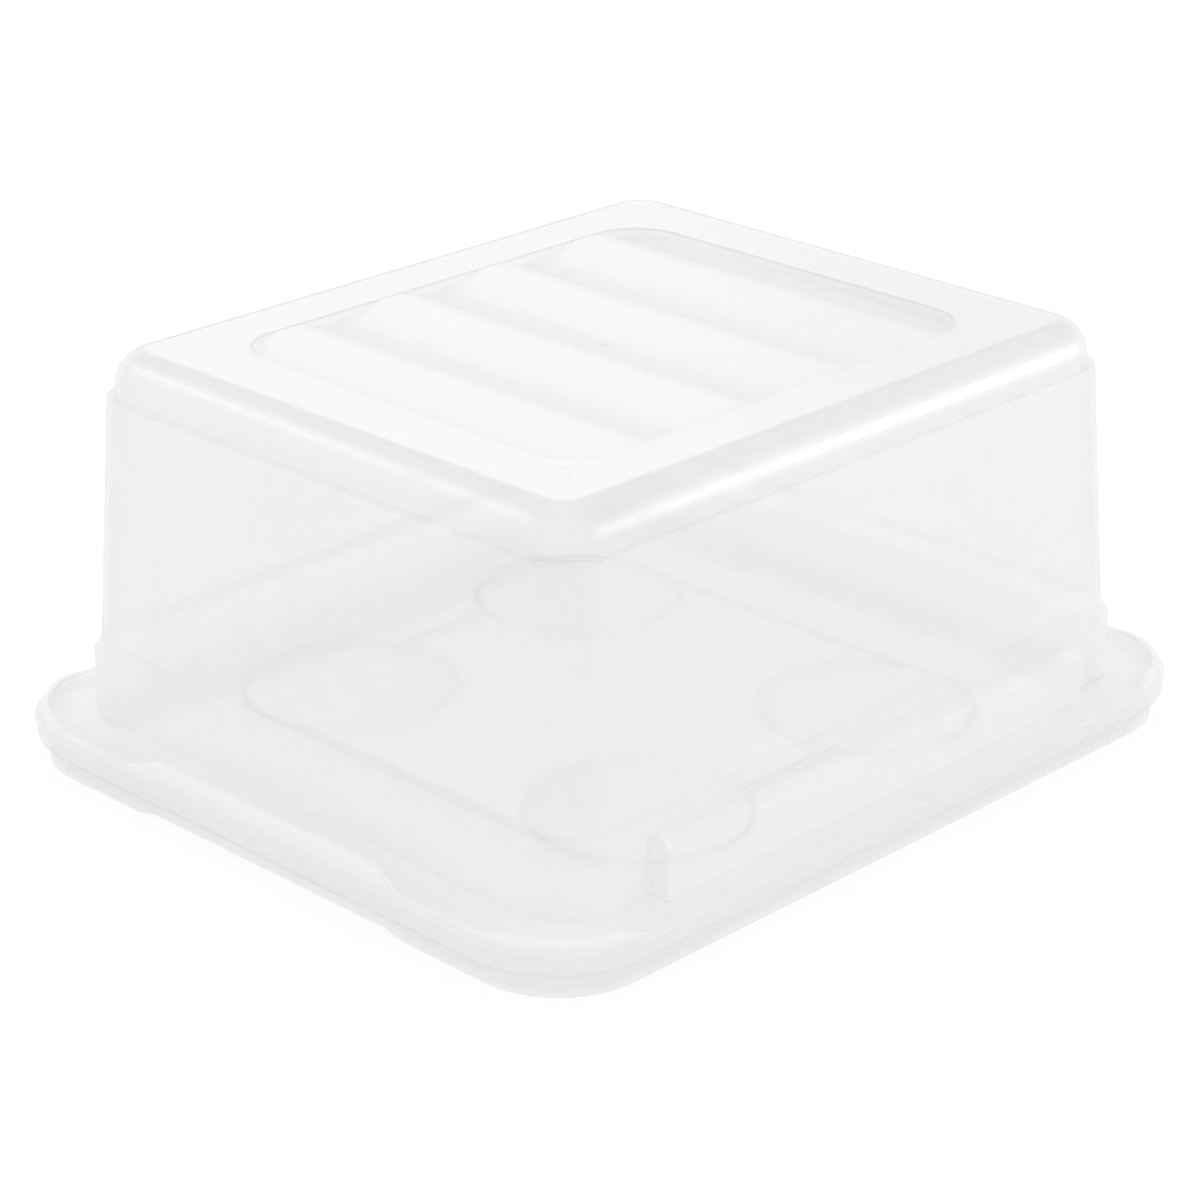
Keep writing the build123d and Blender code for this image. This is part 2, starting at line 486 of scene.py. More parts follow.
    def raised(self, rows: np.ndarray) -> dict[str, np.ndarray]:
        """The outline of the lid's raised panel and pads, point for point with the template.

        Args:
            rows: The template's points.

        Returns:
            The outline's points and outward directions. A point of the plug's side meets the outline
            straight inward, and the corner's points share a short stretch at the pad's tip.
        """
        panel, (reach_x, reach_y) = self.panel, self.band.straight()
        x, y = np.abs(self.placed(self.band, rows))
        outward_x, outward_y = np.abs(rows[:, 2:]).T
        on_side, on_end = outward_y > STRAIGHT, outward_x > STRAIGHT
        first, last = math.radians(45 + self.tip_turn), math.radians(45 - self.tip_turn)
        third = (first - last) / 3
        side_end = panel.pad_x + panel.pad_radius * math.cos(first)
        end_start = panel.pad_y + panel.pad_radius * math.sin(last)
        by_side = np.arccos(np.clip((x - panel.pad_x) / panel.pad_radius, -1, 1))
        by_side = np.where(x > side_end, first - third * (x - side_end) / (reach_x - side_end), by_side)
        by_end = np.arcsin(np.clip((y - panel.pad_y) / panel.pad_radius, -1, 1))
        by_end = np.where(y > end_start, last + third * (y - end_start) / (reach_y - end_start), by_end)
        by_corner = last + third * (1 + np.arctan2(outward_y, outward_x) / (math.pi / 2))
        angle = np.select([on_side, on_end], [by_side, by_end], by_corner)
        flat = [on_side & (x <= panel.pad_on_side()), on_end & (y <= panel.pad_on_end())]
        out_x = np.select(flat, [0.0, 1.0], np.cos(angle))
        out_y = np.select(flat, [1.0, 0.0], np.sin(angle))
        edge_x = np.select(flat, [x, panel.half_length], panel.pad_x + panel.pad_radius * out_x)
        edge_y = np.select(flat, [panel.half_width, y], panel.pad_y + panel.pad_radius * out_y)
        sign_x, sign_y = np.sign(rows[:, :2]).T
        return {
            "raised_x": sign_x * edge_x, "raised_y": sign_y * edge_y,
            "raised_out_x": sign_x * out_x, "raised_out_y": sign_y * out_y,
        }

    def columns(self) -> dict[str, np.ndarray]:
        """Everything that a loft reads at each point round a ring.

        Returns:
            One array of numbers for each name.
        """
        rows = self.template()
        band_x, _ = self.placed(self.band, rows)
        lip_x, lip_y = self.placed(self.lip, rows)
        arch = np.clip((self.arch_half + self.arch_ramp - np.abs(lip_y)) / self.arch_ramp, 0, 1)
        return {
            **dict(zip(("centre_x", "centre_y", "out_x", "out_y"), rows.T)),
            "bulge_outside": self.bulge(band_x, rows[:, 3], self.bulge_half),
            "bulge_inside": self.bulge(band_x, rows[:, 3], self.bulge_half - WALL),
            "lip": self.lip_wave(lip_x, lip_y) - self.lip_straight,
            "arch_here": np.where(np.abs(lip_x) > self.side_half, smooth(arch), 0.0) * self.arch_rise,
            **self.raised(rows),
        }


@dataclass(frozen=True)
class RibShape:
    """The wave of the ribbed panel, as a trough that repeats between flat crests."""

    top: float
    pitch: float
    depth: float
    half_chord: float
    ease: float
    core_length: float = 0.0
    core_width: float = 0.0

    def radius(self) -> float:
        """Radius of a trough."""
        return (self.half_chord**2 + self.depth**2) / (2 * self.depth)


NO_RIBS = RibShape(1.0, 1.0, 1.0, 1.0, 1.0)


class Skin(Enum):
    """The two faces of a moulding's wall."""

    OUTER = 0.0
    INNER = 1.0


class LoftTree:
    """The node tree that lofts a moulding's skin through its rings."""

    INPUTS = {
        "Geometry": ("Rings",),
        "Object": ("Around",),
        "Float": (
            "Lip lean", "Wall", "Rib pitch", "Rib depth", "Rib radius", "Rib top", "Rib ease",
            "Core half length", "Core half width",
        ),
        "Int": ("Core columns", "Core rows", "First end point"),
        "Material": ("Material",),
    }

    def __init__(self, lean: float, ribs: RibShape | None, marks: "MouldMarks | None" = None) -> None:
        """Builds the tree.

        Args:
            lean: How far the lip leans in for each unit of its height.
            ribs: The ribbed panel that closes the skin, if there is one.
            marks: What the mould leaves on the moulding, if anything.
        """
        self.tree = bpy.data.node_groups.new("moulded skin", "GeometryNodeTree")
        self.graph = Graph(self.tree)
        face = self.tree.interface
        self.sockets = {
            name: face.new_socket(name, in_out="INPUT", socket_type="NodeSocket" + kind).identifier
            for kind, names in self.INPUTS.items()
            for name in names
        }
        face.new_socket("Skin", in_out="OUTPUT", socket_type="NodeSocketGeometry")
        outputs = self.graph.node("NodeGroupInput").outputs
        self.given = {name: Value(self.graph, outputs[name]) for name in self.sockets}
        self.lean, self.ribs, self.marks = lean, ribs, marks
        self.write()

    def reader(self, geometry: Value, index: Value) -> Callable[[str], Value]:
        """Reads named numbers of a geometry.

        Args:
            geometry: The geometry.
            index: Which of its points is read.

        Returns:
            A function that gives a number by its name.
        """
        graph = self.graph

        def read(name: str) -> Value:
            """Reads one number.

            Args:
                name: The number's name.

            Returns:
                The number at that point.
            """
            named = graph.value("GeometryNodeInputNamedAttribute", {"Name": name}, data_type="FLOAT")
            inputs = {"Geometry": geometry, "Value": named, "Index": index}
            return graph.value("GeometryNodeSampleIndex", inputs, data_type="FLOAT", domain="POINT")

        return read

    def point_count(self, geometry: Value) -> Value:
        """How many points a mesh has."""
        return self.graph.value("GeometryNodeAttributeDomainSize", {0: geometry}, component="MESH")

    def rib_height(self, x: Value, inside: Number) -> Value:
        """Height of the ribbed panel's face.

        Args:
            x: Where along the panel.
            inside: 1 for the inner skin, which lies a wall lower.

        Returns:
            The height.
        """
        graph, given = self.graph, self.given
        half = given["Rib pitch"] * 0.5
        offset = graph.math("WRAP", x, half, -half)
        skin = given["Wall"] * inside
        radius = given["Rib radius"] + skin
        fall = graph.math("SQRT", radius * radius - offset * offset)
        trough = given["Rib top"] - given["Rib depth"] + given["Rib radius"] - fall
        return graph.math("SMOOTH_MIN", trough, given["Rib top"] - skin, given["Rib ease"])

    def grid(self, columns: Value, rows: Value) -> tuple[Value, Value, Value]:
        """A grid to be moved into shape.

        Args:
            columns: How many columns of points it has.
            rows: How many rows.

        Returns:
            The grid, and the column and the row number of its points.
        """
        mesh = self.graph.value("GeometryNodeMeshGrid", {"Vertices X": columns, "Vertices Y": rows})
        index = self.graph.value("GeometryNodeInputIndex")
        column = self.graph.math("FLOOR", (index + 0.5) / rows)
        return mesh, column, index - column * rows

    def moved(self, mesh: Value, x: Value, y: Value, z: Value) -> Value:
        """The mesh with its points at x, y and z."""
        spot = self.graph.value("ShaderNodeCombineXYZ", {0: x, 1: y, 2: z})
        return self.graph.value("GeometryNodeSetPosition", {"Geometry": mesh, "Position": spot})

    def flipped(self, mesh: Value) -> Value:
        """The mesh with its faces turned round."""
        return self.graph.value("GeometryNodeFlipFaces", {0: mesh})

    def loft(self, around: Value) -> Value:
        """Lofts the skin.

        Args:
            around: The points round each ring.

        Returns:
            The skin through all rings.
        """
        given = self.given
        mesh, column, row = self.grid(self.point_count(around), self.point_count(given["Rings"]))
        ring, here = self.reader(given["Rings"], row), self.reader(around, column)
        lip = ring("lift") * here("lip")
        lean = lip * given["Lip lean"]
        corner = ring("corner") - lean
        x = here("centre_x") * (ring("half_length") - lean - corner) + here("out_x") * corner
        bulge = ring("inside").blend(here("bulge_outside"), here("bulge_inside"))
        out = ring("reach") * bulge + corner
        y = here("centre_y") * (ring("half_width") - lean - corner) + here("out_y") * out
        z = ring("height") + lip + ring("rise") * bulge + ring("arch") * here("arch_here")
        raised_x = here("raised_x") - here("raised_out_x") * ring("inset")
        raised_y = here("raised_y") - here("raised_out_y") * ring("inset")
        x = ring("pads").blend(x, raised_x) * ring("spread")
        y = ring("pads").blend(y, raised_y) * ring("spread")
        if self.ribs:
            z = ring("ribs").blend(z, self.rib_height(x, ring("inside")))
        return self.flipped(self.moved(mesh, x, y, z))

    def core(self, around: Value, skin: Skin) -> Value:
        """The middle of the ribbed panel, whose points meet the last ring's.

        Args:
            around: The points round each ring.
            skin: Which face of the wall it is.

        Returns:
            The middle as a mesh.
        """
        given = self.given
        mesh, column, row = self.grid(given["Core columns"], given["Core rows"])
        x = self.reader(around, column)("centre_x") * given["Core half length"]
        y = self.reader(around, row + given["First end point"])("centre_y") * given["Core half width"]
        mesh = self.moved(mesh, x, y, self.rib_height(x, skin.value))
        return self.flipped(mesh) if skin is Skin.INNER else mesh

    def write(self) -> None:
        """Writes the whole tree."""
        graph, given = self.graph, self.given
        around = graph.value("GeometryNodeObjectInfo", {"Object": given["Around"]}, "Geometry")
        parts = [self.loft(around)]
        if self.ribs:
            parts += [self.core(around, skin) for skin in Skin]
        joined = graph.node("GeometryNodeJoinGeometry")
        for part in parts:
            graph.feed(joined.inputs[0], part)
        joined = Value(graph, joined.outputs[0])
        whole = graph.value("GeometryNodeMergeByDistance", {"Geometry": joined, "Distance": HAIRLINE})
        if self.marks:
            whole = self.marks.put_on(whole)
        whole = graph.value("GeometryNodeRealizeInstances", {"Geometry": whole})
        whole = graph.value("GeometryNodeSetMaterial", {"Geometry": whole, "Material": given["Material"]})
        graph.node("NodeGroupOutput", {0: whole})

    def run(
        self, name: str, rings: list[Ring], around: Around, material: bpy.types.Material
    ) -> bpy.types.Object:
        """Lofts a moulding.

        Args:
            name: The piece's name.
            rings: Its rings in order, from the middle of one face to the middle of the other.
            around: The points round each ring.
            material: What the piece is dressed in.

        Returns:
            The piece as a plain mesh.
        """
        table = np.array([ring.numbers()[:-1] for ring in rings])
        carrier = points_object(name + "_rings", dict(zip(RING_FIELDS, table.T)))
        guide = points_object(name + "_around", around.columns())
        ribs = self.ribs or NO_RIBS
        sides, ends = around.counts()
        values = {
            "Around": guide,
            "Lip lean": self.lean,
            "Wall": WALL,
            "Rib pitch": ribs.pitch,
            "Rib depth": ribs.depth,
            "Rib radius": ribs.radius(),
            "Rib top": ribs.top,
            "Rib ease": ribs.ease,
            "Core half length": ribs.core_length,
            "Core half width": ribs.core_width,
            "Core columns": sides,
            "Core rows": ends,
            "First end point": sides + around.corner_steps - 1,
            "Material": material,
        }
        live = carrier.modifiers.new("loft", "NODES")
        live.node_group = self.tree
        for key, value in values.items():
            live[self.sockets[key]] = value
        seen = carrier.evaluated_get(bpy.context.evaluated_depsgraph_get())
        mesh = bpy.data.meshes.new_from_object(seen)
        mesh.name = name
        mesh.materials.clear()
        mesh.materials.append(material)
        mesh.polygons.foreach_set("material_index", np.zeros(len(mesh.polygons), np.int32))
        for loose in (carrier, guide):
            bpy.data.objects.remove(loose)
        piece = bpy.data.objects.new(name, mesh)
        bpy.context.scene.collection.objects.link(piece)
        return piece


def finished(piece: bpy.types.Object, sharp: float = 40.0) -> None:
    """Shades a piece smooth, but for its sharp edges.

    Args:
        piece: The piece.
        sharp: The turn in degrees from which an edge stays sharp.
    """
    for polygon in piece.data.polygons:
        polygon.use_smooth = True
    piece.data.set_sharp_from_angle(angle=math.radians(sharp))


# Finishes
@dataclass(frozen=True)
class ClearPlastic:
    """Natural polypropylene as moulded: clear, smooth and slightly milky."""

    name: str
    pale: float = 0.978
    square_on: float = 0.35
    edge_on: float = 0.75
    edge_power: float = 2.0
    edge_loss: float = 0.13
    edge_loss_power: float = 6.0
    index: float = 1.49
    polish: float = 0.34
    grain_polish: float = 0.75
    grain: Span = in_mm(58.0, 66.0)
    milk_polish: float = 0.85
    mottle: float = 0.05
    mottle_tone: float = 0.12
    mottle_rough: float = 0.3
    cloud_scale: float = 13.0
    streak_scale: float = 11.0
    streak_drift: float = 3.0
    streak_share: float = 0.3
    gate_fade: float = 30.0 * MM
    wave_scale: float = 24.0
    wave_height: float = 0.16 * MM
    scuff_scale: float = 45.0
    scuff_squash: float = 5.0
    scuff_range: tuple[float, float] = (0.58, 0.74)
    scuff_rough: float = 0.10

    def mottled(self, spot: Value) -> Value:
        """Clouds in the plastic, and the streaks in which it ran out from the gate.

        Args:
            spot: The place.

        Returns:
            The cloudiness, about one half.
        """
        graph, flat = spot.graph, spot.scaled(1.0, 1.0, 0.0)
        heading = graph.vector("NORMALIZE", flat)
        away = graph.vector("LENGTH", flat, output="Value")
        turned = graph.vector("ADD", heading, spot.scaled(*[self.streak_drift] * 3))
        streaks, clouds = turned.noise(self.streak_scale, 1.0), spot.noise(self.cloud_scale)
        return (away.step(0.0, self.gate_fade) * self.streak_share).blend(clouds, streaks)

    def relief(self, spot: Value) -> Value:
        """Normals with the slow waviness of a moulded wall."""
        waves = spot.noise(self.wave_scale, 0.0) * self.wave_height
        return spot.graph.value("ShaderNodeBump", {"Strength": 1.0, "Distance": 1.0, "Height": waves})

    def scuffs(self, spot: Value) -> Value:
        """Faint rubbed places, longer than they are high."""
        return spot.scaled(1.0, 1.0, self.scuff_squash).noise(self.scuff_scale).step(*self.scuff_range)

    def outside(self, x: Value, y: Value, plan: Plan) -> Value:
        """How far a place lies outside a plan's rounded outline, less than 0 well inside it."""
        past_x, past_y = ((abs(at) - half).most(0.0) for at, half in zip((x, y), plan.straight()))
        return past_x.hypot(past_y) - plan.corner

    def body(self, x: Value, y: Value, z: Value) -> tuple[Number, Number]:
        """How pale the plastic is, and how much milkier than elsewhere, from place to place."""
        return self.pale, 0.0

    def material(self) -> bpy.types.Material:
        """Makes the finish.

        Returns:
            The finish as a node material.
        """
        made = bpy.data.materials.new(self.name)
        made.use_nodes = True
        graph = Graph(made.node_tree)
        graph.tree.nodes.clear()
        spot = graph.value("ShaderNodeTexCoord", output="Object")
        x, y, z = graph.coordinates(spot)
        mottle = (self.mottled(spot) - 0.5) * (2 * self.mottle)
        pale, milkier = self.body(x, y, z)
        turned = graph.value("ShaderNodeLayerWeight", {"Blend": 0.5}, "Facing")
        pale = mottle * self.mottle_tone + pale - turned**self.edge_loss_power * self.edge_loss
        milk = (turned**self.edge_power).blend(self.square_on, self.edge_on)
        milk = graph.blend(milkier, milk * mottle + milk, 1.0)
        rough = z.step(*self.grain).blend(self.grain_polish, self.polish)
        rough = graph.blend(milkier, rough, self.milk_polish)
        rough = rough + self.scuffs(spot) * self.scuff_rough + mottle * self.mottle_rough
        inputs = {
            "Base Color": graph.value("ShaderNodeCombineXYZ", {0: pale, 1: pale, 2: pale}),
            "Roughness": rough,
            "IOR": self.index,
            "Normal": self.relief(spot),
        }
        shader = graph.value("ShaderNodeBsdfPrincipled", inputs)
        through = graph.value("ShaderNodeBsdfTransparent", {"Color": WHITE})
        mixed = graph.value("ShaderNodeMixShader", {0: milk, 1: through, 2: shader})
        graph.node("ShaderNodeOutputMaterial", {"Surface": mixed})
        return made


@dataclass(frozen=True)
class TubPlastic(ClearPlastic):
    """The tub's plastic: milkier over the base, with painted shade round the base's edge, down one side of
    each trough, towards the base's far right, along the panel's outline, the ledge, the step and the rim,
    and painted light on the base and the mouth.
    """

    foot: Plan = BASE
    panel: Plan = PANEL
    band: Plan = BAND
    rounding: float = BASE_ROUND
    rounding_top: tuple[float, float] = (TOP - BASE_ROUND - 3.0 * MM, TOP - BASE_ROUND)
    # Painted shade: a darker band round the base's rounded edge, eased off towards the corners
    edge: Span = in_mm(-14.8, -11.9, -6.5, -0.5)
    edge_pale: float = 0.885
    flat_edge: float = -11.0 * MM
    # Painted light: the flat of the base paler than the walls
    base_pale: float = 0.99
    base_milk: float = 0.55
    corner_edge: float = 9.0 * MM
    corner_share: float = 0.5
    corner_cloud: Span = in_mm(-6.0, 14.0)
    corner_above: Span = in_mm(161.8, 164.8)
    corner_milk: float = 0.22
    # Painted shade: the base darker towards its far right side
    side_run: tuple[float, float] = (-0.02, 0.26)
    side_pale: float = 0.935
    rib_pitch: float = RIB_PITCH
    # Painted shade down one side of each trough
    trough_off_middle: float = 6.5 * MM
    trough_side: Span = in_mm(2.0, 22.0)
    trough_end: float = 3.0 * MM
    trough_pale: float = 0.93
    # Painted shade along the ribbed panel's outline
    outline: Span = in_mm(-0.9, -0.35, 0.25, 0.7)
    outline_top: tuple[float, float] = (TOP - 1.4 * MM, TOP - 0.6 * MM)
    outline_pale: float = 0.84
    # Painted shade along the ledge
    ledge: Span = in_mm(159.6, 160.1, 161.3, 161.8)
    ledge_pale: float = 0.93
    # Painted shade on the step
    step: Span = in_mm(47.2, 48.0, 53.0, 56.0)
    step_pale: float = 0.95
    # Painted light on the mouth, paler than the walls
    mouth: Span = in_mm(40.0, 46.0)
    mouth_pale: float = 0.992
    # Painted shade on the rim
    rim: Span = in_mm(9.5, 16.0)
    rim_pale: float = 0.96

    def troughs(self, x: Value, past_panel: Value) -> Value:
        """Painted shade down one side of each trough.

        Args:
            x: Where along the panel.
            past_panel: How far the place lies outside the panel.

        Returns:
            1 there, easing to 0 on the other side and at the panel's edge.
        """
        half = self.rib_pitch / 2
        off = x.graph.math("WRAP", x + self.trough_off_middle, half, -half)
        return (1.0 - abs(off).step(*self.trough_side)) * (-past_panel).step(0.0, self.trough_end)

    def base(self, x: Value, y: Value, z: Value) -> Value:
        """How pale the flat of the base is, with painted light on it, and painted shade towards its far
        right, down one side of each trough and along the panel's outline.

        Args:
            x, y, z: The place.

        Returns:
            The paleness.
        """
        past_panel = self.outside(x, y, self.panel)
        # Painted light on the base, and painted shade towards its far right
        pale = (x - y).step(*self.side_run).blend(self.base_pale, self.side_pale)
        # Painted shade down one side of each trough
        pale = self.troughs(x, past_panel).blend(pale, self.trough_pale)
        # Painted shade along the ribbed panel's outline
        return (past_panel.window(self.outline) * z.step(*self.outline_top)).blend(pale, self.outline_pale)

    def walls(self, x: Value, y: Value, z: Value) -> Value:
        """How pale the walls, the mouth and the rim are, with painted shade on the ledge, the step and the
        rim, and painted light on the mouth.

        Args:
            x, y, z: The place.

        Returns:
            The paleness.
        """
        # Painted light on the mouth, painted shade on the rim
        mouth = self.outside(x, y, self.band).step(*self.rim).blend(self.mouth_pale, self.rim_pale)
        pale = z.step(*self.mouth).blend(mouth, z.window(self.step).blend(self.pale, self.step_pale))
        return z.window(self.ledge).blend(pale, self.ledge_pale)

    def body(self, x: Value, y: Value, z: Value) -> tuple[Number, Number]:
        """Tells the base, its rounded edge and corners and the walls apart, with painted shade round the
        rounded edge that eases off towards the corners.

        Args:
            x, y, z: The place.

        Returns:
            How pale the plastic is, and how much milkier than elsewhere.
        """
        out, high = self.outside(x, y, self.foot), z.step(*self.rounding_top)
        side, end = self.foot.straight()
        corner = (abs(x) - side).least(abs(y) - end)
        away = 1.0 - corner.step(0.0, self.corner_edge) * self.corner_share
        flat = (1.0 - out.step(-self.rounding, self.flat_edge)) * high
        pale = flat.blend(self.walls(x, y, z), self.base(x, y, z))
        cloud = corner.step(*self.corner_cloud) * z.step(*self.corner_above)
        milkier = (flat * self.base_milk).most(cloud * self.corner_milk)
        # Painted shade round the base's rounded edge
        return (out.window(self.edge) * high * away).blend(pale, self.edge_pale), milkier


@dataclass(frozen=True)
class LidPlastic(ClearPlastic):
    """The lid's plastic: painted shade in its skirt, on the field round the raised panel and in dark lines
    round the panel and pads, painted light over the plug, and darker over its four pads.
    """

    # Painted shade: the skirt darker than the rest
    pale: float = 0.955
    plug: Plan = PLUG
    # Painted light: the plug paler than the rest
    plug_pale: float = 0.992
    skirt_run: float = 8.0 * MM
    panel: RaisedPanel = RaisedPanel()
    panel_line: Span = in_mm(-2.0, 0.0, 2.5, 6.0)
    # Painted shade on the field round the raised panel
    field_run: float = 3.0 * MM
    field_pale: float = 0.972
    pad_line: Span = in_mm(-3.5, -1.0, 1.0, 3.5)
    pad_run: Span = in_mm(-1.0, 1.0)
    pad_pale: float = 0.93
    # Painted shade: dark lines round the raised panel and the pads, and darker up the panel's edge
    line_pale: float = 0.8
    raised_edge: Span = in_mm(15.04, 15.15, 16.05, 16.16)
    raised_edge_pale: float = 0.45

    def body(self, x: Value, y: Value, z: Value) -> tuple[Number, Number]:
        """Tells the skirt, the field, the pads and the lines between them apart, with painted shade on the
        skirt, the field and the lines, and painted light over the plug.

        Args:
            x, y, z: The place.

        Returns:
            How pale the plastic is, and how much milkier than elsewhere.
        """
        shape, side, end = self.panel, abs(x), abs(y)
        panel = (side - shape.half_length).most(end - shape.half_width)
        pad = (side - shape.pad_x).hypot(end - shape.pad_y) - shape.pad_radius
        past_pad = pad.step(*self.pad_run)
        pale = panel.step(0.0, self.field_run).blend(self.plug_pale, self.field_pale)
        pale = past_pad.blend(self.pad_pale, pale)
        line = (panel.window(self.panel_line) * past_pad).most(pad.window(self.pad_line))
        # Painted shade in the lines and up the raised panel's edge
        pale = z.window(self.raised_edge).blend(line.blend(pale, self.line_pale), self.raised_edge_pale)
        return self.outside(x, y, self.plug).step(0.0, self.skirt_run).blend(pale, self.pale), 0.0


# The tub
@dataclass(frozen=True)
class MouldMarks:
    """The gate's nub in the middle trough, and two fine rings sunk in the base's flat frame."""

    nub_radius: float = 2.2 * MM
    nub_rise: float = 1.0 * MM
    nub_floor: float = 175.3 * MM
    nub_sides: int = 32
    ring_radius: float = 10.0 * MM
    ring_line: float = 0.5 * MM
    ring_depth: float = 0.3 * MM
    ring_x: float = -132.1 * MM
    ring_y: float = 97.6 * MM
    ring_sides: int = 72
    top: float = TOP

    def nub(self, graph: Graph) -> Value:
        """The nub, sunk half a wall into the trough's floor.

        Args:
            graph: The moulding's tree.

        Returns:
            The nub as a mesh.
        """
        depth = self.nub_rise + WALL / 2
        sizes = {"Vertices": self.nub_sides, "Radius": self.nub_radius, "Depth": depth}
        stub = graph.value("GeometryNodeMeshCylinder", sizes, "Mesh")
        shift = (0.0, 0.0, self.nub_floor + self.nub_rise - depth / 2)
        return graph.value("GeometryNodeTransform", {"Geometry": stub, "Translation": shift})

    def rings(self, graph: Graph) -> Value:
        """Two tools that cut the rings, each as far above the base as below it.

        Args:
            graph: The moulding's tree.

        Returns:
            The tools as one mesh.
        """
        circle = {"Resolution": self.ring_sides, "Radius": self.ring_radius - self.ring_line / 2}
        path = graph.value("GeometryNodeCurvePrimitiveCircle", circle)
        sizes = {"Width": self.ring_line, "Height": 2 * self.ring_depth}
        bar = graph.value("GeometryNodeCurvePrimitiveQuadrilateral", sizes)
        tool = graph.value("GeometryNodeCurveToMesh", {"Curve": path, "Profile Curve": bar})
        start, step = (self.ring_x, -self.ring_y, self.top), (0.0, 2 * self.ring_y, 0.0)
        spots = graph.value("GeometryNodeMeshLine", {"Count": 2, "Start Location": start, "Offset": step})
        pair = graph.value("GeometryNodeInstanceOnPoints", {"Points": spots, "Instance": tool})
        return graph.value("GeometryNodeRealizeInstances", {"Geometry": pair})

    def put_on(self, moulding: Value) -> Value:
        """Works the marks into a moulding.

        Args:
            moulding: Its skin.

        Returns:
            The skin with the nub on it and the rings cut.
        """
        graph = moulding.graph
        joined = graph.node("GeometryNodeMeshBoolean", operation="UNION", solver="EXACT")
        for part in (moulding, self.nub(graph)):
            graph.feed(joined.inputs["Mesh 2"], part)
        inputs = {"Mesh 1": Value(graph, joined.outputs[0]), "Mesh 2": self.rings(graph)}
        return graph.value("GeometryNodeMeshBoolean", inputs, operation="DIFFERENCE", solver="EXACT")


